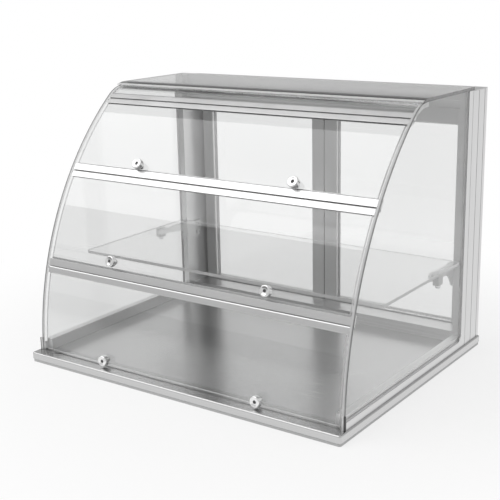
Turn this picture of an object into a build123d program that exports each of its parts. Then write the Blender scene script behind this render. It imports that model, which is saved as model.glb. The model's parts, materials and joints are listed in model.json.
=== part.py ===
from build123d import *
import os
from math import asin, atan2, cos, degrees, sin, sqrt

# Countertop bread display bin. Two clear end panels with a bowed front edge stand in
# channels on a flat base. A framed rear wall holds two swing doors. Three curved flaps
# close the front, each hung on a cross rail, above and below a clear shelf.
#
# Millimetres. X runs across the front, Y from front to rear, Z up.
# The origin is the middle of the base's underside.

# Base
base_width = 610
base_depth = 481
base_height = 16.5
base_corner_radius = 4
base_rim_radius = 2.5
base_sheet = 1.5
plinth_height = 5
plinth_inset = 1
plinth_wall = 3
plinth_floor = 2
plinth_fit = 0.2
plinth_rib_count = 3

# Glass body
front_setback = 21
side_setback = 5
frame_height = 430.5
bow_radius = 558
bow_centre_drop = 12.5
corner_radius = 60
end_panel_thickness = 6
end_panel_seat = 2
end_panel_cover = 9

# Side channels, which hold the end panels' lower edges
channel_lip = 1.7
channel_outer_height = 11.5
channel_inner_height = 19.5
channel_wall = 1.8
channel_front_gap = 2
end_cap_length = 3
end_cap_width = 5
end_cap_edge_radius = 1.2
end_cap_height = 21.5

# Rear frame
post_width = 20
post_depth = 56
post_groove_width = 1.6
post_groove_depth = 0.7
post_groove_front = 23
post_groove_rear = 46
post_cap_thickness = 1.5
post_cap_plug = 6
post_cap_gap = 0.1
rear_setback = 2.5
trim_depth = 16
trim_seam = 0.8
trim_foot_radius = 12
header_height = 25
lintel_drop = 10
sill_height = 19.5
sill_tread = 4
frame_wall = 2
frame_groove_depth = 0.6
frame_groove_width = 1.2

# Roof
roof_thickness = 5
roof_overhang = 16.5
roof_nose_length = 22
roof_nose_edge = 1.5
roof_bearing = 8

# Cross rails and flap hinges
lower_hinge_height = 142.7
middle_hinge_height = 296.6
top_hinge_drop = 20.8
rail_inset = 0.5
rail_band = 12
rail_wrap = 1.2
rail_wrap_reach = 2
rail_stop_height = 3
top_rail_landing = 6
top_rail_groove_rise = 13
hinge_nose_radius = 3
hinge_gap = 0.4
hinge_strip_length = 9
hinge_strip_end_gap = 0.4
hinge_pin_radius = 1.5
hinge_pin_bite = 4
hinge_pin_root = 10
hinge_pin_clearance = 0.05

# Flap panes and knobs
pane_thickness = 4
pane_side_gap = 4
pane_rail_gap = 1.2
pane_deck_gap = 2.5
pane_stop_gap = 0.4
pane_pocket = 5.5
pane_pocket_gap = 0.15
pane_pocket_float = 0.3
knob_radius = 9
knob_thickness = 9
knob_front_chamfer = 2
knob_neck_radius = 3.8
knob_neck_length = 3
knob_spacing = 304
knob_deck_gap = 1.5
middle_knob_rise = 12.5
top_knob_rise = 7
knob_screw_radius = 2
knob_screw_bite = 7
knob_screw_clearance = 0.05
knob_hole_clearance = 0.25
knob_screw_head_radius = 4
knob_screw_head_height = 2.4
knob_seat_gap = 0.05

# Shelf and brackets; the shelf height is above the deck
shelf_height = 145.5
shelf_thickness = 5
shelf_side_gap = 1
shelf_front_distance = 135.5
shelf_rear_gap = 2
shelf_corner_radius = 6
bracket_thickness = 5
bracket_reach = 90
bracket_heel_length = 22
bracket_root_height = 37
bracket_arm_height = 12
bracket_arm_reach = 38
bracket_tip_height = 8
bracket_corner_radius = 3
bracket_flange_thickness = 4
bracket_flange_gap = 1
bracket_screw_radius = 2.5
bracket_screw_head_radius = 4.5
bracket_screw_head_height = 2.5
bracket_screw_bite = 8
bracket_screw_drop = 10
bracket_screw_pitch = 17
bracket_screw_clearance = 0.1
pad_thickness = 1
pad_length = 12
pad_end_inset = 4
clamp_width = 10.5
clamp_length = 17
clamp_height = 16
clamp_gap = 0.3
clamp_tip_distance = 7
clamp_edge_radius = 2
clamp_screw_radius = 4.5
clamp_screw_height = 6
clamp_shank_radius = 2
clamp_shank_length = 8
clamp_shank_clearance = 0.05

# Rear doors
door_thickness = 15
door_gap = 1
door_seam = 1.5
door_post_gap = 1
door_rear_inset = 1
door_stop_gap = 1.5
door_hinge_stile = 26.5
door_meeting_stile = 25.7
door_top_rail = 27
door_bottom_rail = 17.5
door_bevel = 1
door_pane_thickness = 4
door_pane_setback = 8.5
door_pane_bite = 5
gasket_wall = 1.2
gasket_lip = 1.6
pull_groove_radius = 4
pull_groove_edge = 9
pull_groove_depth = 3.5
pivot_radius = 2
pivot_clearance = 0.05
pivot_root = 12
pivot_bite = 3.2

# Levels and planes that the pieces share
deck = base_height
frame_top = deck + frame_height
roof_top = frame_top + roof_thickness
panel_outer = base_width / 2 - side_setback
panel_inner = panel_outer - end_panel_thickness
frame_outer = panel_outer + channel_lip
frame_inner = frame_outer - post_width
base_front = -base_depth / 2
post_rear = base_depth / 2 - rear_setback
post_front = post_rear - post_depth
trim_front = post_front - trim_depth
end_panel_rear = trim_front + end_panel_cover
bow_centre_y = base_front + front_setback + bow_radius
bow_centre_z = deck - bow_centre_drop
hinge_heights = {
    "lower": lower_hinge_height,
    "middle": middle_hinge_height,
    "top": frame_height - top_hinge_drop,
}
knob_rises = {
    "lower": knob_radius + knob_deck_gap - pane_deck_gap,
    "middle": middle_knob_rise,
    "top": top_knob_rise,
}
hinge_depth = rail_inset + hinge_nose_radius
pane_front_depth = hinge_depth - pane_thickness / 2
pane_back_depth = hinge_depth + pane_thickness / 2
rail_lower = hinge_nose_radius + hinge_gap
rail_upper = rail_lower + rail_band
rail_back = rail_lower + rail_wrap
channel_front = base_front + front_setback + pane_back_depth + channel_front_gap
shelf_bottom = deck + shelf_height
shelf_front = base_front + shelf_front_distance
shelf_rear = trim_front - shelf_rear_gap
bracket_top = shelf_bottom - pad_thickness
bracket_inner = frame_inner - bracket_thickness
bracket_tip = trim_front - bracket_reach
bracket_heel = post_front + bracket_heel_length
door_rear = post_rear - door_rear_inset
door_front = door_rear - door_thickness
door_middle = (door_front + door_rear) / 2
door_outer = frame_inner - door_post_gap
door_inner = door_seam / 2
door_bottom = deck + sill_tread + door_gap
door_top = frame_top - header_height - lintel_drop - door_gap
rebate_front = door_front - door_stop_gap
pivot_x = door_outer - door_thickness / 2


def block(x, y, z):
    """A box from its low and high ends along X, Y and Z."""
    spans = (x, y, z)
    middle = [(low + high) / 2 for low, high in spans]
    size = [high - low for low, high in spans]
    return Pos(*middle) * Box(*size)


def patch(across, up):
    """A rectangle from its low and high ends in a sketch."""
    middle = [(low + high) / 2 for low, high in (across, up)]
    size = [high - low for low, high in (across, up)]
    return Pos(*middle) * Rectangle(*size)


def along_x(side_view, low, high):
    """Extrudes a side view, drawn in Y and Z, from low to high X."""
    return extrude(Plane.YZ.offset(low) * side_view, amount=high - low)


def along_z(plan, low, high):
    """Extrudes a plan, drawn in X and Y, from low to high Z."""
    return extrude(Plane.XY.offset(low) * plan, amount=high - low)


def along_y(front_view, low, high):
    """Extrudes a front view, drawn in X and Z, from low to high Y."""
    return extrude(Plane.XZ.offset(-high) * front_view, amount=high - low)


def rod(plane, radius, low, high):
    """A round bar on a plane's own normal, from low to high along it."""
    return extrude(plane.offset(low) * Circle(radius), amount=high - low)


def both_sides(right_piece):
    """The left and right pieces of a mirrored pair, from the right one."""
    return {"left": mirror(right_piece, about=Plane.YZ), "right": right_piece}


def pair(right_piece):
    """The right piece and its mirror image as one group."""
    return right_piece + mirror(right_piece, about=Plane.YZ)


# The bowed front. An angle is measured at the bow's centre, up from level, and a depth
# is measured inwards from the end panels' own front edge.
def bow_angle(height):
    return asin((height - bow_centre_z) / bow_radius)


def bow_point(angle, depth):
    reach = bow_radius - depth
    return (bow_centre_y - reach * cos(angle), bow_centre_z + reach * sin(angle))


def bow_plane(angle, depth):
    """Sketch plane across the bow: X climbs the curve, Y points outwards."""
    climb = (0, sin(angle), cos(angle))
    return Plane(origin=(0, *bow_point(angle, depth)), x_dir=climb, z_dir=(1, 0, 0))


def outward_plane(x, angle, depth):
    """Plane that lies on the bowed front at x, with its normal outwards."""
    outwards = (0, -cos(angle), sin(angle))
    return Plane(origin=(x, *bow_point(angle, depth)), x_dir=(1, 0, 0), z_dir=outwards)


def across_bow(section_face, plane, half_length):
    return extrude(plane.offset(-half_length) * section_face, amount=2 * half_length)


def bow_band(front_depth, back_depth, low_angle, high_angle):
    """Curved strip between two depths and two angles."""
    angles = (low_angle, (low_angle + high_angle) / 2, high_angle)
    front = ThreePointArc(*[bow_point(angle, front_depth) for angle in angles])
    back = ThreePointArc(*[bow_point(angle, back_depth) for angle in angles])
    ends = [Line(front @ 0, back @ 0), Line(front @ 1, back @ 1)]
    return make_face([front, back, *ends])


def corner_tangent_y():
    """Where the rounded front corner meets the level top, front to rear."""
    rise = frame_top - corner_radius - bow_centre_z
    return bow_centre_y - sqrt((bow_radius - corner_radius) ** 2 - rise**2)


def side_outline(inset, rear, bottom):
    """Side view of the glass body, inset from the end panels' front and top edges."""
    top = frame_top - inset
    corner_y = corner_tangent_y()
    join_angle = atan2(frame_top - corner_radius - bow_centre_z, bow_centre_y - corner_y)
    foot_angle = asin((bottom - bow_centre_z) / (bow_radius - inset))
    angles = (foot_angle, (foot_angle + join_angle) / 2, join_angle)
    bow = ThreePointArc(*[bow_point(angle, inset) for angle in angles])
    turn = TangentArc([bow @ 1, (corner_y, top)], tangent=bow % 1)
    straight = Polyline((corner_y, top), (rear, top), (rear, bottom), bow @ 0)
    return make_face([bow, turn, straight])


on_base = (Align.CENTER, Align.CENTER, Align.MIN)
under_top = (Align.CENTER, Align.CENTER, Align.MAX)
hinge_angles = {name: bow_angle(deck + height) for name, height in hinge_heights.items()}
flap_names = list(hinge_heights)
foot_angles = {flap_names[0]: bow_angle(deck + pane_deck_gap)}
for below, above in zip(flap_names, flap_names[1:]):
    foot_angles[above] = hinge_angles[below] + (rail_upper + pane_rail_gap) / bow_radius


def base_tray():
    """Folded tray: the deck that the goods stand on, with its rolled rim and skirt."""
    half_width = base_width / 2
    tray = block((-half_width, half_width), (base_front, -base_front), (plinth_height, deck))
    tray = fillet(tray.edges().filter_by(Axis.Z), base_corner_radius)
    tray = fillet(tray.edges().group_by(Axis.Z)[-1], base_rim_radius)
    inside = half_width - base_sheet
    hollow = block(
        (-inside, inside),
        (base_front + base_sheet, -base_front - base_sheet),
        (plinth_height, deck - base_sheet),
    )
    return tray - hollow


def base_plinth():
    """Lower pan that closes the tray and carries the deck on its walls and ribs."""
    flange_x = base_width / 2 - plinth_inset
    flange_y = base_depth / 2 - plinth_inset
    wall_x = base_width / 2 - base_sheet - plinth_fit
    wall_y = base_depth / 2 - base_sheet - plinth_fit
    flange = block((-flange_x, flange_x), (-flange_y, flange_y), (0, plinth_height))
    flange = fillet(flange.edges().filter_by(Axis.Z), base_corner_radius)
    core = block((-wall_x, wall_x), (-wall_y, wall_y), (plinth_height, deck - base_sheet))
    pan = flange + core
    bay_pitch = (2 * wall_x - plinth_wall) / (plinth_rib_count + 1)
    for bay in range(plinth_rib_count + 1):
        start = -wall_x + plinth_wall + bay * bay_pitch
        pan -= block(
            (start, start + bay_pitch - plinth_wall),
            (-wall_y + plinth_wall, wall_y - plinth_wall),
            (plinth_floor, deck),
        )
    return pan


def end_panel():
    """Right end panel, with blind holes for the flaps' pins."""
    outline = side_outline(0, end_panel_rear, deck + end_panel_seat)
    panel = along_x(outline, panel_inner, panel_outer)
    for angle in hinge_angles.values():
        panel -= rod(
            bow_plane(angle, hinge_depth),
            hinge_pin_radius + hinge_pin_clearance,
            panel_inner,
            panel_inner + hinge_pin_bite + hinge_strip_end_gap,
        )
    return panel


def side_channel():
    """Right glazing channel: outer lip, slot for the panel and hollow inner side."""
    floor = patch((frame_inner, frame_outer), (deck, deck + end_panel_seat))
    lip = patch((panel_outer, frame_outer), (deck, deck + channel_outer_height))
    inner = patch((frame_inner, panel_inner), (deck, deck + channel_inner_height))
    hollow = patch(
        (frame_inner + channel_wall, panel_inner - channel_wall),
        (deck + channel_wall, deck + channel_inner_height - channel_wall),
    )
    front_part = along_y(
        patch((panel_inner, frame_outer), (deck, deck + end_panel_seat)) + lip,
        base_front + front_setback,
        channel_front,
    )
    return front_part + along_y(floor + lip + inner - hollow, channel_front, trim_front)


def end_cap():
    """Right cap on the channel's front end, in front of the panel's foot."""
    front = base_front + front_setback - end_cap_length
    cap = block(
        (frame_outer - end_cap_width, frame_outer),
        (front, front + end_cap_length),
        (deck, deck + end_cap_height),
    )
    return fillet(cap.edges().group_by(Axis.Y)[0], end_cap_edge_radius)


def rear_trim():
    """Right upright glazing channel, with a curved foot over the side channel."""
    plan = patch((frame_inner, frame_outer), (trim_front, post_front))
    plan -= patch((panel_inner, panel_outer), (trim_front, end_panel_rear))
    plan -= patch(
        (frame_inner + channel_wall, panel_inner - channel_wall),
        (trim_front + channel_wall, post_front - channel_wall),
    )
    plan -= patch((panel_outer, frame_outer), (post_front - trim_seam, post_front))
    lip_top = deck + channel_outer_height
    foot = patch((trim_front - trim_foot_radius, trim_front), (lip_top, lip_top + trim_foot_radius))
    foot -= Pos(trim_front - trim_foot_radius, lip_top + trim_foot_radius) * Circle(trim_foot_radius)
    return along_z(plan, deck, frame_top) + along_x(foot, panel_outer, frame_outer)


def rear_post():
    """Right hollow post, grooved outside and drilled for its bracket screws."""
    plan = patch((frame_inner, frame_outer), (post_front, post_rear))
    plan -= patch(
        (frame_inner + frame_wall, frame_outer - frame_wall),
        (post_front + frame_wall, post_rear - frame_wall),
    )
    for distance in (post_groove_front, post_groove_rear):
        middle = post_front + distance
        plan -= patch(
            (frame_outer - post_groove_depth, frame_outer),
            (middle - post_groove_width / 2, middle + post_groove_width / 2),
        )
    post = along_z(plan, deck, frame_top - post_cap_thickness)
    for plane in bracket_screw_planes():
        post -= rod(
            plane,
            bracket_screw_radius + bracket_screw_clearance,
            bracket_thickness,
            bracket_thickness + frame_wall,
        )
    return post


def post_cap():
    """Right cap: a flush plate with a plug inside the post."""
    reach = frame_wall + post_cap_gap
    plate = block(
        (frame_inner, frame_outer), (post_front, post_rear), (frame_top - post_cap_thickness, frame_top)
    )
    plug = block(
        (frame_inner + reach, frame_outer - reach),
        (post_front + reach, post_rear - reach),
        (frame_top - post_cap_thickness - post_cap_plug, frame_top - post_cap_thickness),
    )
    return plate + plug


def face_grooves(bottom, top):
    """Two level grooves that split a rail's front face in three."""
    grooves = []
    for share in (1 / 3, 2 / 3):
        middle = bottom + (top - bottom) * share
        grooves.append(
            patch(
                (post_front, post_front + frame_groove_depth),
                (middle - frame_groove_width / 2, middle + frame_groove_width / 2),
            )
        )
    return grooves


def pivot_bores(low, high):
    """Holes for both doors' pivots between two heights."""
    bore = Cylinder(pivot_radius + pivot_clearance, high - low, align=on_base)
    return pair(Pos(pivot_x, door_middle, low) * bore)


def rear_header():
    """Top rail between the posts, with a lintel that holds the doors' upper pivots."""
    bottom = frame_top - header_height
    view = patch((post_front, post_rear), (bottom, frame_top))
    view += patch((rebate_front, post_rear), (bottom - lintel_drop, bottom))
    view -= patch(
        (post_front + frame_wall, post_rear - frame_wall), (bottom + frame_wall, frame_top - frame_wall)
    )
    for groove in face_grooves(bottom, frame_top):
        view -= groove
    header = along_x(view, -frame_inner, frame_inner)
    lintel_bottom = bottom - lintel_drop
    return header - pivot_bores(lintel_bottom, lintel_bottom + pivot_bite + door_gap)


def rear_sill():
    """Bottom rail between the posts, with a low tread that holds the lower pivots."""
    top = deck + sill_height
    view = patch((post_front, rebate_front), (deck, top))
    view -= patch(
        (post_front + frame_wall, rebate_front - frame_wall), (deck + frame_wall, top - frame_wall)
    )
    view += patch((rebate_front, post_rear), (deck, deck + sill_tread))
    for groove in face_grooves(deck, top):
        view -= groove
    return along_x(view, -frame_inner, frame_inner) - pivot_bores(deck, deck + sill_tread)


def top_panel():
    """Clear roof that rests on the panels, trims and header, with an eased front edge."""
    front = corner_tangent_y() - roof_overhang
    nose_rear = front + roof_nose_length
    rear = post_front + roof_bearing
    nose = TangentArc([(nose_rear, roof_top), (front, frame_top + roof_nose_edge)], tangent=(-1, 0))
    edges = Polyline(nose @ 1, (front, frame_top), (rear, frame_top), (rear, roof_top), nose @ 0)
    return along_x(make_face([nose, edges]), -panel_outer, panel_outer)


def middle_rail_profile():
    """Section of a cross rail, drawn about the hinge line of the flap below it."""
    front = hinge_nose_radius
    stop_front = front - (pane_back_depth - rail_inset) - pane_stop_gap
    profile = patch((rail_lower, rail_upper), (-rail_back, front))
    profile += patch((0, rail_lower), (-rail_back, 0)) - Circle(rail_lower)
    profile += patch((-rail_wrap_reach, 0), (-rail_back, -rail_lower))
    profile += patch((rail_upper, rail_upper + rail_stop_height), (-rail_back, stop_front))
    return profile


def middle_rail(name):
    """Cross rail that hangs one flap and stops the flap above."""
    return across_bow(middle_rail_profile(), bow_plane(hinge_angles[name], hinge_depth), panel_inner)


def front_top_rail():
    """Top cross rail: follows the body's rounded corner and hangs the top flap."""
    landing = corner_tangent_y() + top_rail_landing
    depth = rail_inset + hinge_nose_radius + rail_back
    skin = side_outline(rail_inset, landing, deck) - side_outline(depth, landing, deck)
    rail = along_x(skin, -panel_inner, panel_inner)
    hinge = bow_plane(hinge_angles["top"], hinge_depth)
    reach = frame_height
    rail -= across_bow(patch((-reach, rail_lower), (-reach, reach)), hinge, panel_inner)
    cradle = patch((0, rail_lower), (-rail_back, 0)) - Circle(rail_lower)
    cradle += patch((-rail_wrap_reach, 0), (-rail_back, -rail_lower))
    rail += across_bow(cradle, hinge, panel_inner)
    groove_angle = hinge_angles["top"] + top_rail_groove_rise / bow_radius
    groove = patch(
        (-frame_groove_width / 2, frame_groove_width / 2), (-rail_inset - frame_groove_depth, rail_inset)
    )
    return rail - across_bow(groove, bow_plane(groove_angle, 0), panel_inner)


def flap_pane(name):
    """Curved clear pane, drilled for its knob screws."""
    top_angle = hinge_angles[name] - (hinge_strip_length - pane_pocket + pane_pocket_float) / bow_radius
    band = bow_band(pane_front_depth, pane_back_depth, foot_angles[name], top_angle)
    half_width = panel_inner - pane_side_gap
    pane = along_x(band, -half_width, half_width)
    for plane in knob_planes(name):
        pane -= rod(plane, knob_screw_radius + knob_hole_clearance, -2 * pane_thickness, pane_thickness)
    return pane


def hinge_strip(name):
    """Strip along a flap's top edge: round nose, pocket for the pane, bored ends."""
    profile = Circle(hinge_nose_radius)
    profile += patch((-hinge_strip_length, 0), (-hinge_nose_radius, hinge_nose_radius))
    half_pocket = pane_thickness / 2 + pane_pocket_gap
    profile -= patch((-hinge_strip_length, pane_pocket - hinge_strip_length), (-half_pocket, half_pocket))
    plane = bow_plane(hinge_angles[name], hinge_depth)
    half_length = panel_inner - hinge_strip_end_gap
    strip = across_bow(profile, plane, half_length)
    return strip - pair(rod(plane, hinge_pin_radius, half_length - hinge_pin_root, half_length))


def hinge_pins(name):
    """Two pins that stand in the strip's ends and turn in the end panels."""
    plane = bow_plane(hinge_angles[name], hinge_depth)
    start = panel_inner - hinge_strip_end_gap - hinge_pin_root
    return pair(rod(plane, hinge_pin_radius, start, panel_inner + hinge_pin_bite))


def knob_planes(name):
    """Planes on a pane's outer face where its two knobs stand."""
    angle = foot_angles[name] + knob_rises[name] / bow_radius
    return [outward_plane(x, angle, pane_front_depth) for x in (-knob_spacing / 2, knob_spacing / 2)]


def knobs(name):
    """Two round knobs with chamfered edges on short necks."""
    neck = Cylinder(knob_neck_radius, knob_neck_length, align=on_base)
    head = Cylinder(knob_radius, knob_thickness, align=on_base)
    head = chamfer(head.edges().group_by(Axis.Z)[-1], knob_front_chamfer)
    bore = Cylinder(knob_screw_radius + knob_screw_clearance, knob_screw_bite, align=on_base)
    knob = neck + Pos(0, 0, knob_neck_length) * head - bore
    left, right = [plane * knob for plane in knob_planes(name)]
    return left + right


def knob_screws(name):
    """Two screws that hold the knobs from inside the pane."""
    shank_length = knob_seat_gap + pane_thickness + knob_screw_bite
    shank = Cylinder(knob_screw_radius, shank_length, align=on_base)
    head = Cylinder(knob_screw_head_radius, knob_screw_head_height, align=under_top)
    screw = Pos(0, 0, -pane_thickness - knob_seat_gap) * (shank + head)
    left, right = [plane * screw for plane in knob_planes(name)]
    return left + right


def shelf():
    """Clear shelf with rounded corners."""
    half_width = panel_inner - shelf_side_gap
    pane = block(
        (-half_width, half_width), (shelf_front, shelf_rear), (shelf_bottom, shelf_bottom + shelf_thickness)
    )
    return fillet(pane.edges().filter_by(Axis.Z), shelf_corner_radius)


def bracket_screw_planes():
    """Planes on the right bracket's inner face, with their normals towards the post."""
    y = (post_front + bracket_heel) / 2
    heights = [bracket_top - bracket_screw_drop - step * bracket_screw_pitch for step in range(2)]
    return [Plane(origin=(bracket_inner, y, z), x_dir=(0, 1, 0), z_dir=(1, 0, 0)) for z in heights]


def shelf_bracket():
    """Right cantilever bracket: a slim arm that flares down to a flange on the rear trim."""
    root = bracket_top - bracket_root_height
    arm_end = (trim_front - bracket_arm_reach, bracket_top - bracket_arm_height)
    flange = (trim_front - bracket_flange_thickness, trim_front)
    arm = Polyline(
        (bracket_heel, root),
        (bracket_heel, bracket_top),
        (bracket_tip, bracket_top),
        (bracket_tip, bracket_top - bracket_tip_height),
        arm_end,
    )
    flare = TangentArc([arm @ 1, (flange[0], root)], tangent=(1, 0))
    profile = make_face([arm, flare, Line(flare @ 1, arm @ 0)])
    profile = fillet(profile.vertices().group_by(Axis.X)[0], bracket_corner_radius)
    bracket = along_x(profile, bracket_inner, frame_inner)
    bracket += block((frame_inner, panel_inner - bracket_flange_gap), flange, (root, bracket_top))
    for plane in bracket_screw_planes():
        bracket -= rod(plane, bracket_screw_radius + bracket_screw_clearance, 0, bracket_thickness)
    return bracket


def bracket_screws():
    """Two round-head screws for the right bracket."""
    head = Cylinder(bracket_screw_head_radius, bracket_screw_head_height, align=under_top)
    shank = Cylinder(bracket_screw_radius, bracket_thickness + bracket_screw_bite, align=on_base)
    upper, lower = [plane * (head + shank) for plane in bracket_screw_planes()]
    return upper + lower


def shelf_pads():
    """Two soft pads between the right bracket and the shelf."""
    across = (bracket_inner, frame_inner)
    up = (bracket_top, shelf_bottom)
    starts = (bracket_tip + pad_end_inset, shelf_rear - pad_end_inset - pad_length)
    front, rear = [block(across, (start, start + pad_length), up) for start in starts]
    return front + rear


def clamp_middle():
    """Middle of the right clamp in plan."""
    return (frame_inner + clamp_width / 2, bracket_tip + clamp_tip_distance + clamp_length / 2)


def shelf_clamp():
    """Right clamp block under the shelf, between its bracket and the end panel."""
    x, y = clamp_middle()
    top = shelf_bottom - clamp_gap
    clamp = block(
        (x - clamp_width / 2, x + clamp_width / 2),
        (y - clamp_length / 2, y + clamp_length / 2),
        (top - clamp_height, top),
    )
    clamp = fillet(clamp.edges().filter_by(Axis.Z).group_by(Axis.X)[-1], clamp_edge_radius)
    bore = Cylinder(clamp_shank_radius + clamp_shank_clearance, clamp_shank_length, align=on_base)
    return clamp - Pos(x, y, top - clamp_height) * bore


def clamp_screw():
    """Right thumb screw below the clamp."""
    x, y = clamp_middle()
    grip = Cylinder(clamp_screw_radius, clamp_screw_height, align=under_top)
    grip = chamfer(grip.edges().group_by(Axis.Z)[0], clamp_screw_height / 4)
    shank = Cylinder(clamp_shank_radius, clamp_shank_length - clamp_shank_clearance, align=on_base)
    return Pos(x, y, shelf_bottom - clamp_gap - clamp_height) * (grip + shank)


# Right door. Its clear opening runs between the stiles and between the rails.
opening_x = (door_inner + door_meeting_stile, door_outer - door_hinge_stile)
opening_z = (door_bottom + door_bottom_rail, door_top - door_top_rail)
door_pane_span = (door_front + door_pane_setback, door_front + door_pane_setback + door_pane_thickness)


def grown(span, margin):
    low, high = span
    return (low - margin, high + margin)


def opening_block(margin, y):
    """The clear opening, grown by a margin, between two depths."""
    return block(grown(opening_x, margin), y, grown(opening_z, margin))


def opening_bevel():
    """Cutter that eases the frame's inner edge towards the cabinet."""
    faces = []
    for margin, depth in ((door_bevel, door_front), (0, door_front + door_bevel)):
        window = patch(grown(opening_x, margin), grown(opening_z, margin))
        faces.append(Plane.XZ.offset(-depth) * window)
    return loft(faces)


def gasket_span():
    return grown(door_pane_span, gasket_wall)


def framed(blank):
    """Cuts the shared bevel and gasket groove into a piece of the door frame."""
    return blank - opening_bevel() - opening_block(door_pane_bite, gasket_span())


def door_hinge_stile_piece():
    """Outer stile: rounded about the pivot line and bored at both ends."""
    plan = patch((opening_x[1], pivot_x), (door_front, door_rear))
    plan += Pos(pivot_x, door_middle) * Circle(door_thickness / 2)
    stile = framed(along_z(plan, door_bottom, door_top))
    for low in (door_bottom, door_top - pivot_root):
        stile -= Pos(pivot_x, door_middle, low) * Cylinder(pivot_radius, pivot_root, align=on_base)
    return stile


def door_meeting_stile_piece():
    """Middle stile, with a finger groove along its rear face."""
    plan = patch((door_inner, opening_x[0]), (door_front, door_rear))
    groove_y = door_rear - pull_groove_depth + pull_groove_radius
    plan -= Pos(door_inner + pull_groove_edge, groove_y) * Circle(pull_groove_radius)
    return framed(along_z(plan, door_bottom, door_top))


def door_rail_piece(low, high):
    return framed(block(opening_x, (door_front, door_rear), (low, high)))


def door_pane():
    return opening_block(door_pane_bite - gasket_wall, door_pane_span)


def door_gasket():
    """Soft channel round the pane's edge, with a lip that shows inside the frame."""
    ring = opening_block(door_pane_bite, gasket_span()) - opening_block(-gasket_lip, gasket_span())
    return ring - door_pane()


def door_pivots():
    """Two pins that stand in the stile's ends and turn in the lintel and the tread."""
    length = pivot_root + door_gap + pivot_bite
    lower = Cylinder(pivot_radius, length, align=under_top)
    upper = Cylinder(pivot_radius, length, align=on_base)
    lower = Pos(pivot_x, door_middle, door_bottom + pivot_root) * lower
    return lower + Pos(pivot_x, door_middle, door_top - pivot_root) * upper


def fixed_nodes():
    """Every piece that stays still, by name."""
    nodes = {
        "base_tray": base_tray(),
        "base_plinth": base_plinth(),
        "channel_end_caps": pair(end_cap()),
        "post_caps": pair(post_cap()),
        "rear_header": rear_header(),
        "rear_sill": rear_sill(),
        "top_panel": top_panel(),
        "front_top_rail": front_top_rail(),
        "middle_hinge_rail": middle_rail("middle"),
        "lower_hinge_rail": middle_rail("lower"),
        "shelf": shelf(),
        "shelf_pads": pair(shelf_pads()),
        "bracket_screws": pair(bracket_screws()),
        "shelf_clamps": pair(shelf_clamp()),
        "clamp_screws": pair(clamp_screw()),
    }
    right_pieces = {
        "side_channel": side_channel(),
        "end_panel": end_panel(),
        "rear_trim": rear_trim(),
        "rear_post": rear_post(),
        "shelf_bracket": shelf_bracket(),
    }
    for name, piece in right_pieces.items():
        for side, copy in both_sides(piece).items():
            nodes[f"{side}_{name}"] = copy
    return nodes


def flap_nodes():
    nodes = {}
    for name in hinge_heights:
        nodes[f"{name}_flap_pane"] = flap_pane(name)
        nodes[f"{name}_flap_hinge_strip"] = hinge_strip(name)
        nodes[f"{name}_flap_hinge_pins"] = hinge_pins(name)
        nodes[f"{name}_flap_knobs"] = knobs(name)
        nodes[f"{name}_flap_knob_screws"] = knob_screws(name)
    return nodes


def door_nodes():
    right_door = {
        "hinge_stile": door_hinge_stile_piece(),
        "meeting_stile": door_meeting_stile_piece(),
        "top_rail": door_rail_piece(opening_z[1], door_top),
        "bottom_rail": door_rail_piece(door_bottom, opening_z[0]),
        "pane": door_pane(),
        "gasket": door_gasket(),
        "pivots": door_pivots(),
    }
    nodes = {}
    for name, piece in right_door.items():
        for side, copy in both_sides(piece).items():
            nodes[f"{side}_door_{name}"] = copy
    return nodes


os.makedirs("parts", exist_ok=True)
for node, shape in {**fixed_nodes(), **flap_nodes(), **door_nodes()}.items():
    export_step(shape, f"parts/{node}.step")
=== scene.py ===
import json
from math import cos, pi, radians, sin, sqrt

import bmesh
import bpy
from mathutils import Matrix, Vector

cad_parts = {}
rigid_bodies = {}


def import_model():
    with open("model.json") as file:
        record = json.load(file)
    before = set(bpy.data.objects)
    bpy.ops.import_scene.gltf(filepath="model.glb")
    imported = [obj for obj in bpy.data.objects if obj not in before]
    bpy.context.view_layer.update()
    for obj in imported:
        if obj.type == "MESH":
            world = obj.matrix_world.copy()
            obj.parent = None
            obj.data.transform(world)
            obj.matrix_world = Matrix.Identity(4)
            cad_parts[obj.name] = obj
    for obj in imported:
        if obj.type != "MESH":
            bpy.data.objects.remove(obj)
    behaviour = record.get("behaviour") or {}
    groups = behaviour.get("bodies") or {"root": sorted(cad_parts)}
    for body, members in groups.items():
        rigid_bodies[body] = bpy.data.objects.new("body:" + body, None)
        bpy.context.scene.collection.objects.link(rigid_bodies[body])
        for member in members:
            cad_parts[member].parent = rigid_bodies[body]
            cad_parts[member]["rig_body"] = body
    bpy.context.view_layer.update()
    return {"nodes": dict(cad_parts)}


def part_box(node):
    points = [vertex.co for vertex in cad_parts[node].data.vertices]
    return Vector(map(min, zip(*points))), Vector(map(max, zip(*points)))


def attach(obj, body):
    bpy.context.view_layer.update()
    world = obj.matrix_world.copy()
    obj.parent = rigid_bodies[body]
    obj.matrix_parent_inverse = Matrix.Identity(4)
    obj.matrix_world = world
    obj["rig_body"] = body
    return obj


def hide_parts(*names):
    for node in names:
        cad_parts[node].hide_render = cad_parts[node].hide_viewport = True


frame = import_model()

X, Y, Z = 0, 1, 2
AXIS_NAMES = "xyz"
MM = 0.001

# The panes' outer faces bow round a line along X
BOW_CENTRE = Vector((0, 338.5 * MM, 4 * MM))
PANE_FACE_RADIUS = 556.5 * MM


# Shader nodes

NOISE_MIDDLE = (0.3, 0.7)


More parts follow.
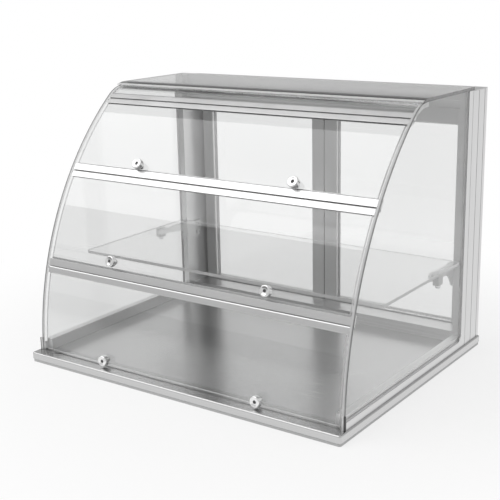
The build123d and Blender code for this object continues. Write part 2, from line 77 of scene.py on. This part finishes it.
class Link:
    """A node's output. Sums with it add the Math nodes that work them out."""

    def __init__(self, finish, socket):
        self.finish = finish
        self.socket = socket

    def maths(self, operation, *others):
        sockets = dict(enumerate((self, *others)))
        return self.finish.node("Math", {"operation": operation}, sockets)

    def __add__(self, other):
        return self.maths("ADD", other)

    def __mul__(self, other):
        return self.maths("MULTIPLY", other)

    def __rsub__(self, other):
        return self * -1 + other

    def __gt__(self, other):
        return self.maths("GREATER_THAN", other)

    def __or__(self, other):
        return self.maths("MAXIMUM", other)

    __radd__ = __add__
    __rmul__ = __mul__


def grey(level):
    return (level, level, level, 1)


class Finish:
    """A node tree. Its methods add nodes to it and give back their outputs."""

    def __init__(self, tree):
        self.tree = tree
        self.tree.nodes.clear()

    def node(self, kind, settings=None, sockets=None, output=0):
        node = self.tree.nodes.new("ShaderNode" + kind)
        for name, value in (settings or {}).items():
            setattr(node, name, value)
        for name, value in (sockets or {}).items():
            if isinstance(value, Link):
                self.tree.links.new(value.socket, node.inputs[name])
            else:
                node.inputs[name].default_value = value
        return Link(self, node.outputs[output]) if node.outputs else None

    def point(self):
        return self.node("TexCoord", output="Object")

    def noise(self, scale, detail=2, stretch=(1, 1, 1), roughness=0.5):
        """Noise from 0 to 1 with so many blobs a metre, drawn out where stretch is under 1."""
        place = self.node("Mapping", sockets={"Vector": self.point(), "Scale": stretch})
        sockets = {"Vector": place, "Scale": scale, "Detail": detail, "Roughness": roughness}
        return self.node("TexNoise", sockets=sockets)

    def run(self, kind, value, ends, low, high):
        sockets = {
            "Value": value,
            "From Min": ends[0],
            "From Max": ends[1],
            "To Min": low,
            "To Max": high,
        }
        return self.node("MapRange", {"interpolation_type": kind}, sockets)

    def spread(self, noise, low, high):
        """Runs from low to high over the middle of a noise's range, where most of it lies."""
        return self.run("LINEAR", noise, NOISE_MIDDLE, low, high)

    def smooth_step(self, value, ends, low, high):
        """Runs smoothly from low to high as a value goes from one end to the other."""
        return self.run("SMOOTHSTEP", value, ends, low, high)

    def blend(self, value, first, second):
        """One colour at 0 and the other at 1."""
        sockets = {0: value, 6: first, 7: second}
        return self.node("Mix", {"data_type": "RGBA"}, sockets, output=2)

    def bump(self, value, rise):
        """A normal for a surface that rises by so many metres."""
        return self.node("Bump", sockets={"Height": value, "Distance": rise})

    def along(self, vector, axis):
        return self.node("SeparateXYZ", sockets={0: vector}, output=axis)

    def mixed(self, share, first, second):
        """One shader at 0 and the other at 1."""
        return self.node("MixShader", sockets={0: share, 1: first, 2: second})

    def diffuse(self, level):
        return self.node("BsdfDiffuse", sockets={"Color": grey(level)})

    def glow(self, level):
        return self.node("Emission", sockets={"Color": grey(1), "Strength": level})

    def rays(self, *names):
        return [self.node("LightPath", output=name) for name in names]

    def principled(self, **sockets):
        """Takes the shader's sockets, with _ for each space in their names."""
        sockets = {name.replace("_", " "): value for name, value in sockets.items()}
        return self.node("BsdfPrincipled", sockets=sockets)

    def show(self, shader, kind="Material"):
        self.node("Output" + kind, sockets={"Surface": shader})

    def show_principled(self, **sockets):
        self.show(self.principled(**sockets))


def new_material(name):
    material = bpy.data.materials.new(name)
    material.use_nodes = True
    return material, Finish(material.node_tree)


def drawn_out(axis, share):
    """A stretch that draws noise out along one axis."""
    stretch = [1.0, 1.0, 1.0]
    stretch[axis] = share
    return tuple(stretch)


# Finishes

def brushed_steel(name, along):
    """Deck steel, brushed in fine lines."""
    material, finish = new_material(name)
    lines = finish.noise(scale=900, detail=3, stretch=drawn_out(along, 0.02), roughness=0.7)
    clouds = finish.noise(scale=7, detail=3)
    finish.show_principled(
        Base_Color=finish.blend(lines * 0.6 + clouds * 0.4, grey(0.55), grey(0.61)),
        Metallic=1.0,
        Roughness=finish.spread(lines * 0.5 + clouds * 0.5, 0.22, 0.28),
        Normal=finish.bump(lines, 0.004 * MM),
    )
    return material


def satin_aluminium(name, along, dark, light):
    """Anodised extrusion with faint die lines along its length."""
    material, finish = new_material(name)
    lines = finish.noise(scale=500, detail=2, stretch=drawn_out(along, 0.01), roughness=0.6)
    clouds = finish.noise(scale=12, detail=4)
    finish.show_principled(
        Base_Color=finish.blend(lines * 0.5 + clouds * 0.5, grey(dark), grey(light)),
        Metallic=1.0,
        Roughness=finish.spread(clouds, 0.28, 0.38),
        Normal=finish.bump(lines, 0.03 * MM),
    )
    return material


def clear_sheet(name, tint, ior, smudge):
    """Clear sheet with faint wipe marks. Lamps shine through it."""
    material, finish = new_material(name)
    wipes = finish.noise(scale=9, detail=4, stretch=(1, 1, 0.4))
    wiped = (tint - 0.015, tint - 0.01, tint - 0.012, 1)
    glass = finish.principled(
        Base_Color=finish.blend(wipes, wiped, grey(tint)),
        Roughness=finish.spread(wipes, 0, smudge),
        IOR=ior,
        Transmission_Weight=1.0,
    )
    open_way = finish.node("BsdfTransparent", sockets={"Color": grey(tint)})
    shadow, diffuse = finish.rays("Is Shadow Ray", "Is Diffuse Ray")
    finish.show(finish.mixed(shadow | diffuse, glass, open_way))
    return material


def moulded(name, dark, light, rough):
    """Plastic or rubber with a fine grain."""
    material, finish = new_material(name)
    pits = finish.noise(scale=1500, detail=2)
    clouds = finish.noise(scale=18, detail=3)
    finish.show_principled(
        Base_Color=finish.blend(clouds, grey(dark), grey(light)),
        Roughness=finish.spread(clouds, rough - 0.06, rough + 0.06),
        Normal=finish.bump(pits, 0.04 * MM),
    )
    return material


def polished(name, dark, light, rough):
    """Bright metal with faint handling marks."""
    material, finish = new_material(name)
    marks = finish.noise(scale=160, detail=4)
    finish.show_principled(
        Base_Color=finish.blend(marks, grey(dark), grey(light)),
        Metallic=1.0,
        Roughness=finish.spread(marks, rough * 0.6, rough * 1.4),
        Normal=finish.bump(marks, 0.01 * MM),
    )
    return material


def cut_edge(name, dark, light, solid_share, painted_shade_span=None):
    """The flamed edge of a clear sheet. It may go from light to dark between two places along X:
    painted shade, for the dark line that light bent inside the sheet draws at the edge's outer
    side.
    """
    material, finish = new_material(name)
    ripples = finish.noise(scale=260, detail=3, stretch=(1, 1, 0.3))
    clouds = finish.noise(scale=30, detail=2)
    tone = ripples * 0.5 + clouds * 0.5
    if painted_shade_span:
        # Painted shade: the edge gets darker towards the sheet's outer side.
        sideways = finish.along(finish.point(), "X").maths("ABSOLUTE")
        tone = tone * 0.2 + finish.smooth_step(sideways, painted_shade_span, 0.8, 0)
    finish.show_principled(
        Base_Color=finish.blend(tone, grey(dark), grey(light)),
        Roughness=finish.spread(ripples, 0.18, 0.34),
        Alpha=solid_share,
        Normal=finish.bump(ripples, 0.03 * MM),
    )
    return material


aluminium = [
    satin_aluminium("satin_aluminium_" + AXIS_NAMES[axis], axis, dark=0.62, light=0.72)
    for axis in (X, Y, Z)
]
finishes = {
    "base_steel": brushed_steel("brushed_base_steel", X),
    "base_underside": moulded("plinth_plastic", dark=0.56, light=0.62, rough=0.6),
    "bracket_aluminium": satin_aluminium("bracket_aluminium", Y, dark=0.62, light=0.70),
    "clear_acrylic": clear_sheet("clear_acrylic", tint=0.90, ior=1.49, smudge=0.02),
    "door_glass": clear_sheet("door_glass", tint=0.93, ior=1.52, smudge=0.01),
    "gasket_rubber": moulded("gasket_rubber", dark=0.82, light=0.88, rough=0.7),
    "dark_cap": moulded("dark_cap", dark=0.06, light=0.09, rough=0.5),
    "clamp_plastic": moulded("clamp_plastic", dark=0.48, light=0.56, rough=0.35),
    "pad_rubber": moulded("pad_rubber", dark=0.6, light=0.7, rough=0.6),
    "knob_chrome": polished("knob_chrome", dark=0.78, light=0.86, rough=0.10),
    "fixing_steel": polished("fixing_steel", dark=0.62, light=0.70, rough=0.22),
}
acrylic_edge = cut_edge("acrylic_edge", dark=0.80, light=0.90, solid_share=0.8)
# Painted shade: the roof's two sides are given a dark grey for the dark look of a clear sheet's
# edge.
roof_side_painted_shade = cut_edge("roof_side_painted_shade", dark=0.20, light=0.28, solid_share=0.9)
# The end panels' edges: painted shade darkens their outer side, for the dark line that bent light
# draws there.
end_panel_edge = cut_edge(
    "end_panel_edge", dark=0.22, light=0.78, solid_share=0.9, painted_shade_span=(296.6 * MM, 298.6 * MM)
)
glazing_tape = moulded("glazing_tape", dark=0.80, light=0.88, rough=0.6)
slots = {name: node.data.materials[0].name for name, node in frame["nodes"].items()}


def longest_axis(node):
    low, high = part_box(node)
    size = high - low
    return max((X, Y, Z), key=lambda axis: size[axis])


def finish_of(node):
    """A node's own finish. Aluminium has its die lines along the piece."""
    slot = slots[node]
    return aluminium[longest_axis(node)] if slot == "satin_aluminium" else finishes[slot]


for name, node in frame["nodes"].items():
    node.data.materials[0] = finish_of(name)


# Pieces that stand for a CAD node, with the detail that its solid leaves out

WELD = 0.001 * MM
FLAT_TURN = radians(0.5)
SHARP_TURN = radians(40)
SMOOTH_TURN = radians(60)
METAL_EASE = 0.4 * MM
CAP_EASE = 0.3 * MM
CLAMP_EASE = 0.5 * MM
SOCKET_EASE = 0.2 * MM

# How squarely a face looks along a direction, where 1 is straight on
BROAD_FACE = 0.98
CUT_FACE = 0.9
CUT_OR_EASED_FACE = 0.7


def solid_of(node):
    """A node's shape with its triangles joined into whole faces."""
    solid = bmesh.new()
    solid.from_mesh(frame["nodes"][node].data)
    bmesh.ops.remove_doubles(solid, verts=solid.verts, dist=WELD)
    bmesh.ops.dissolve_limit(solid, angle_limit=FLAT_TURN, verts=solid.verts, edges=solid.edges)
    return solid


def ease(solid, width, segments=2):
    """Rounds the sharp edges."""
    sharp = [edge for edge in solid.edges if edge.calc_face_angle(0) > SHARP_TURN]
    bmesh.ops.bevel(
        solid,
        geom=sharp,
        offset=width,
        offset_type="OFFSET",
        affect="EDGES",
        segments=segments,
        profile=0.5,
        material=-1,
        clamp_overlap=True,
    )


def divide(solid, axis, *places):
    """Cuts a shape's faces along planes across an axis, and keeps both sides."""
    along = Vector(axis == each for each in (X, Y, Z))
    for place in places:
        bmesh.ops.bisect_plane(
            solid,
            geom=list(solid.verts) + list(solid.edges) + list(solid.faces),
            dist=WELD,
            plane_co=along * place,
            plane_no=along,
        )


def add_piece(name, solid, node, *materials):
    """Puts a finished shape in a node's place."""
    for face in solid.faces:
        face.smooth = True
    for edge in solid.edges:
        edge.smooth = edge.calc_face_angle(pi) < SMOOTH_TURN
    mesh = bpy.data.meshes.new(name)
    solid.to_mesh(mesh)
    solid.free()
    for material in materials:
        mesh.materials.append(material)
    piece = bpy.data.objects.new(name, mesh)
    bpy.context.scene.collection.objects.link(piece)
    piece.modifiers.new("even_shading", "WEIGHTED_NORMAL").keep_sharp = True
    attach(piece, frame["nodes"][node]["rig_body"])
    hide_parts(node)


def eased_copy(node, width=METAL_EASE):
    solid = solid_of(node)
    ease(solid, width)
    add_piece(node + "_eased", solid, node, finish_of(node))


# Clear sheets. Each has a little air round it, so that none of its faces lies in another's.

SHEET_AIR = 0.05 * MM
SHEET_EASE = 0.35 * MM
TRIM_SEAT = 165 * MM
CHANNEL_SEAT = 29 * MM


def cut_sheet(node, number_of, *edges, seats=()):
    """A clear sheet with eased edges. Faces numbered 0 are clear, the rest have edge finishes."""
    solid = solid_of(node)
    for corner in solid.verts:
        corner.co -= corner.normal * SHEET_AIR
    ease(solid, SHEET_EASE, segments=1)
    for axis, place in seats:
        divide(solid, axis, place)
    for face in solid.faces:
        face.material_index = number_of(face)
    add_piece(node + "_sheet", solid, node, finish_of(node), *edges)


def flat_sheet(axis):
    """Numbers a flat sheet's faces: 0 for the broad ones, 1 for the edges."""
    return lambda face: int(abs(face.normal[axis]) < BROAD_FACE)


def bowed_pane(face):
    """As a flat sheet, but bowed round the front."""
    outwards = face.calc_center_median() - BOW_CENTRE
    outwards.x = 0
    return int(abs(face.normal.dot(outwards.normalized())) < BROAD_FACE)


def roof(face):
    """As a flat sheet, with 2 for the two sides."""
    return 2 if abs(face.normal.x) > CUT_OR_EASED_FACE else flat_sheet(Z)(face)


def end_panel(face):
    """As a flat sheet, with 2 for what stands in the channel and in the rear trim."""
    middle = face.calc_center_median()
    seated = middle.y > TRIM_SEAT or middle.z < CHANNEL_SEAT
    return 2 if seated else flat_sheet(X)(face)


# Knobs and screws

def arc(centre, radius, start, end, steps):
    """Points (out, up) round a centre from one angle to another, in degrees."""
    turns = [radians(start + (end - start) * step / steps) for step in range(steps + 1)]
    return [(centre[0] + radius * cos(turn), centre[1] + radius * sin(turn)) for turn in turns]


KNOB_SPIN_STEPS = 48
KNOB_WELD = 0.005 * MM
KNOB_NECK = [(0, 0), (1.9, 0), (1.9, 2.7), (2.2, 3.0), (6.6, 3.0)]
KNOB_RIM = arc((8.0, 4.0), 1.0, -90, 0, 3) + arc((7.2, 10.2), 1.8, 0, 90, 6)
KNOB_DISH = [(6.5, 11.9), (5.0, 11.45), (3.8, 11.25), (2.9, 11.2)]
KNOB_SOCKET = [(2.7, 11.0), (2.6, 10.2), (0, 10.2)]
KNOB_PROFILE = KNOB_NECK + KNOB_RIM + KNOB_DISH + KNOB_SOCKET
KNOB_SOCKET_RADIUS = 2.75 * MM
KNOB_SOCKET_RISE = 10 * MM
NEARLY_ROUND = 1.02
SAME_SIZE = 0.9
SOCKET_RIM_SHARE = 0.45
SOCKET_TAPER = 0.05 * MM


def turned(solid, profile, foot, axis):
    """Turns a profile of (out, up) points in mm about an axis that starts at its foot."""
    seat = Matrix.Translation(foot) @ axis.to_track_quat("Z", "X").to_matrix().to_4x4()
    corners = [solid.verts.new(seat @ Vector((out * MM, 0, up * MM))) for out, up in profile]
    line = [solid.edges.new(pair) for pair in zip(corners, corners[1:])]
    bmesh.ops.spin(
        solid,
        geom=corners + line,
        cent=foot,
        axis=axis,
        dvec=(0, 0, 0),
        angle=2 * pi,
        steps=KNOB_SPIN_STEPS,
        use_merge=True,
        use_duplicate=False,
    )


def turned_knobs(node):
    """A flap's two round pull knobs, with a rolled rim, a shallow dish and a socket painted dark:
    painted shade for its depth, and also a dark oxide screw.
    """
    points = [corner.co for corner in frame["nodes"][node].data.vertices]
    solid = bmesh.new()
    for side in (-1, 1):
        near = [point for point in points if point.x * side > 0]
        middle = sum(near, Vector()) / len(near)
        foot = Vector((middle.x, BOW_CENTRE.y, BOW_CENTRE.z))
        axis = (middle - foot).normalized()
        turned(solid, KNOB_PROFILE, foot + axis * PANE_FACE_RADIUS, axis)
        for face in solid.faces:
            away = face.calc_center_median() - foot
            reach = away.dot(axis)
            off_axis = (away - axis * reach).length
            rise = reach - PANE_FACE_RADIUS
            # Painted shade: the socket's faces take the dark cap finish for the shade deep in the
            # socket, and also stand for a dark oxide screw there.
            if rise > KNOB_SOCKET_RISE and off_axis < KNOB_SOCKET_RADIUS:
                face.material_index = 1
    bmesh.ops.remove_doubles(solid, verts=solid.verts, dist=KNOB_WELD)
    bmesh.ops.recalc_face_normals(solid, faces=solid.faces)
    add_piece(node + "_turned", solid, node, finish_of(node), finishes["dark_cap"])


def is_disc(face):
    """Whether a face's edge is hardly longer than that of a circle with the same area."""
    return face.calc_perimeter() ** 2 < NEARLY_ROUND * 4 * pi * face.calc_area()


def socket_heads(node, depth):
    """Screws with a round socket sunk in each head, which is the broadest disc on them."""
    solid = solid_of(node)
    discs = [face for face in solid.faces if is_disc(face)]
    area = max(face.calc_area() for face in discs)
    heads = [face for face in discs if face.calc_area() > SAME_SIZE * area]
    rim = SOCKET_RIM_SHARE * sqrt(area / pi)
    bmesh.ops.inset_individual(solid, faces=heads, thickness=rim, depth=0)
    bmesh.ops.inset_individual(solid, faces=heads, thickness=SOCKET_TAPER, depth=-depth)
    ease(solid, SOCKET_EASE)
    add_piece(node + "_socketed", solid, node, finish_of(node))


# Extrusions and their caps

CAP_SEAL = 299 * MM
RAIL_METAL = -15 * MM
# The right side's plugs in mm: the middle of each, and its size
CHANNEL_PLUG = ((287.85, -210.7, 26.25), (8.6, 2.0, 15.8))
TRIM_PLUG = ((287.85, 174.0, 445.7), (8.6, 12.3, 2.0))


def plugged(node, middle, size):
    """A hollow section with a metal plug just inside its open end."""
    solid = solid_of(node)
    ease(solid, METAL_EASE)
    side = 1 if node.startswith("right") else -1
    place = Matrix.Translation(Vector((side * middle[0], middle[1], middle[2])) * MM)
    bmesh.ops.create_cube(solid, size=MM, matrix=place @ Matrix.Diagonal((*size, 1)))
    add_piece(node + "_plugged", solid, node, finish_of(node))


def end_caps(node):
    """Metal caps with a dark seal down their outer side."""
    solid = solid_of(node)
    ease(solid, CAP_EASE)
    divide(solid, X, -CAP_SEAL, CAP_SEAL)
    for face in solid.faces:
        face.material_index = int(abs(face.calc_center_median().x) < CAP_SEAL)
    add_piece(node + "_sealed", solid, node, finish_of(node), aluminium[Z])


def bent_rail(node):
    """The top rail: metal from the flap up to the groove, and clear round the bend behind it."""
    solid = solid_of(node)
    ease(solid, METAL_EASE)
    divide(solid, Y, RAIL_METAL)
    for face in solid.faces:
        if face.calc_center_median().y > RAIL_METAL:
            cut = abs(face.normal.x) > CUT_FACE or face.normal.y > CUT_FACE
            face.material_index = 2 if cut else 1
    add_piece(
        node + "_bent", solid, node, finish_of(node), finishes["clear_acrylic"], acrylic_edge
    )


# The object's pieces

PANEL_SEATS = ((Y, TRIM_SEAT), (Z, CHANNEL_SEAT))
KNOB_SCREW_SOCKET = 1.4 * MM
BRACKET_SCREW_SOCKET = 1.5 * MM
CLAMP_SCREW_SOCKET = 2.0 * MM

for side in ("left", "right"):
    cut_sheet(side + "_end_panel", end_panel, end_panel_edge, glazing_tape, seats=PANEL_SEATS)
    cut_sheet(side + "_door_pane", flat_sheet(Y), acrylic_edge)
cut_sheet("top_panel", roof, acrylic_edge, roof_side_painted_shade)
cut_sheet("shelf", flat_sheet(Z), acrylic_edge)
for flap in ("lower_flap", "middle_flap", "top_flap"):
    cut_sheet(flap + "_pane", bowed_pane, acrylic_edge)
    turned_knobs(flap + "_knobs")
    socket_heads(flap + "_knob_screws", KNOB_SCREW_SOCKET)
    eased_copy(flap + "_hinge_strip")
end_caps("channel_end_caps")
socket_heads("bracket_screws", BRACKET_SCREW_SOCKET)
socket_heads("clamp_screws", CLAMP_SCREW_SOCKET)
eased_copy("shelf_clamps", CLAMP_EASE)
bent_rail("front_top_rail")
for part in ("middle_hinge_rail", "lower_hinge_rail", "rear_header", "rear_sill", "post_caps"):
    eased_copy(part)
for side in ("left", "right"):
    plugged(side + "_side_channel", *CHANNEL_PLUG)
    plugged(side + "_rear_trim", *TRIM_PLUG)
    for part in ("rear_post", "shelf_bracket"):
        eased_copy(side + "_" + part)
    for part in ("hinge_stile", "meeting_stile", "top_rail", "bottom_rail"):
        eased_copy(side + "_door_" + part)


# Studio. Places are in metres. In front is -Y, and a wall's place is the Y of a ray's direction.

FLOOR_LEVEL = 0.8
FLOOR_REACH = 40.0
FLOOR_WHITENS = (0.35, 0.85)
NEAR_FLOOR_GLOW = 0.7
FAR_FLOOR_ENDS = (-1.05, -0.38)
FAR_FLOOR_LEVEL = 0.25
WALL_TURNS = (-0.5, 0.3)
FRONT_WALL_LEVEL = 0.72
BACK_WALL_LEVEL = 0.55
INSIDE_FRONT_LEVEL = 0.48
FILL_LEVEL = 0.6
RAYS = ("Is Camera Ray", "Is Glossy Ray", "Is Transmission Ray", "Glossy Depth")
MIRRORED_ONCE = 0.5


def studio_floor():
    """A pale floor. It whitens away from the object, and gloss sees it darker far in front."""
    mesh = bpy.data.meshes.new("floor")
    ground = bmesh.new()
    bmesh.ops.create_grid(ground, x_segments=1, y_segments=1, size=FLOOR_REACH)
    ground.to_mesh(mesh)
    ground.free()
    floor = bpy.data.objects.new("floor", mesh)
    bpy.context.scene.collection.objects.link(floor)
    material, finish = new_material("floor")
    place = finish.point()
    away = finish.node("VectorMath", {"operation": "LENGTH"}, {0: place}, output="Value")
    white = finish.glow(1.0)
    whitening = finish.smooth_step(away, FLOOR_WHITENS, NEAR_FLOOR_GLOW, 1.0)
    seen = finish.mixed(whitening, finish.diffuse(1), white)
    nearness = finish.smooth_step(finish.along(place, "Y"), FAR_FLOOR_ENDS, 0, 1)
    mirrored = finish.mixed(nearness, finish.glow(FAR_FLOOR_LEVEL), white)
    camera, glossy, through, bounces = finish.rays(*RAYS)
    straight = finish.mixed(camera | through, finish.diffuse(FLOOR_LEVEL), seen)
    finish.show(finish.mixed(glossy * (bounces > MIRRORED_ONCE), straight, mirrored))
    floor.data.materials.append(material)


def studio_world():
    """White backdrop all round, a plain soft fill, and greyer walls for gloss."""
    world = bpy.data.worlds.new("studio")
    bpy.context.scene.world = world
    world.use_nodes = True
    finish = Finish(world.node_tree)
    camera, glossy, through, bounces = finish.rays(*RAYS)
    backwards = finish.along(finish.node("TexCoord", output="Generated"), "Y")
    wall = finish.smooth_step(backwards, WALL_TURNS, FRONT_WALL_LEVEL, BACK_WALL_LEVEL)
    dimming = finish.smooth_step(backwards, WALL_TURNS, 1 - INSIDE_FRONT_LEVEL, 0)
    past_glass = through * (1 - dimming * (bounces > MIRRORED_ONCE))
    in_metal = glossy * (1 - through) * wall
    fill = (1 - glossy) * FILL_LEVEL
    sockets = {"Color": grey(1), "Strength": camera | past_glass | in_metal | fill}
    finish.show(finish.node("Background", sockets=sockets), "World")


def softbox(name, place, target, size, level):
    """A rectangular lamp of so much radiance that faces a point."""
    data = bpy.data.lights.new(name, "AREA")
    data.shape = "RECTANGLE"
    data.size, data.size_y = size
    data.energy = level * pi * size[0] * size[1]
    lamp = bpy.data.objects.new(name, data)
    bpy.context.scene.collection.objects.link(lamp)
    lamp.location = place
    lamp.rotation_euler = (Vector(target) - Vector(place)).to_track_quat("-Z", "Y").to_euler()


def overhead_box(near, far, left, right, rise, level):
    """A level lamp over the object, with its front edge straight across the front."""
    place = ((left + right) / 2, (near + far) / 2, rise)
    below = (place[0], place[1], 0)
    softbox("overhead_box", place, below, (right - left, far - near), level)


def studio_camera():
    """Stands off the front right corner, a little above the roof."""
    place = Vector((0.9485, -1.3463, 0.6328))
    right = Vector((0.8168, 0.5766, -0.0204))
    down = Vector((0.1356, -0.2262, -0.9646))
    ahead = right.cross(down)
    data = bpy.data.cameras.new("camera")
    data.sensor_width = 36
    data.lens = 72.85
    camera = bpy.data.objects.new("camera", data)
    bpy.context.scene.collection.objects.link(camera)
    turn = Matrix((right, -down, -ahead)).transposed().to_4x4()
    camera.matrix_world = Matrix.Translation(place) @ turn
    bpy.context.scene.camera = camera


studio_floor()
studio_world()
overhead_box(near=-2.43, far=-0.26, left=-3.6, right=-0.1, rise=2.0, level=1.45)
softbox("side_box", place=(2.6, 1.2, 1.6), target=(0, 0, 0.2), size=(1.6, 1.6), level=0.9)
studio_camera()
bpy.context.scene.view_settings.view_transform = "Standard"
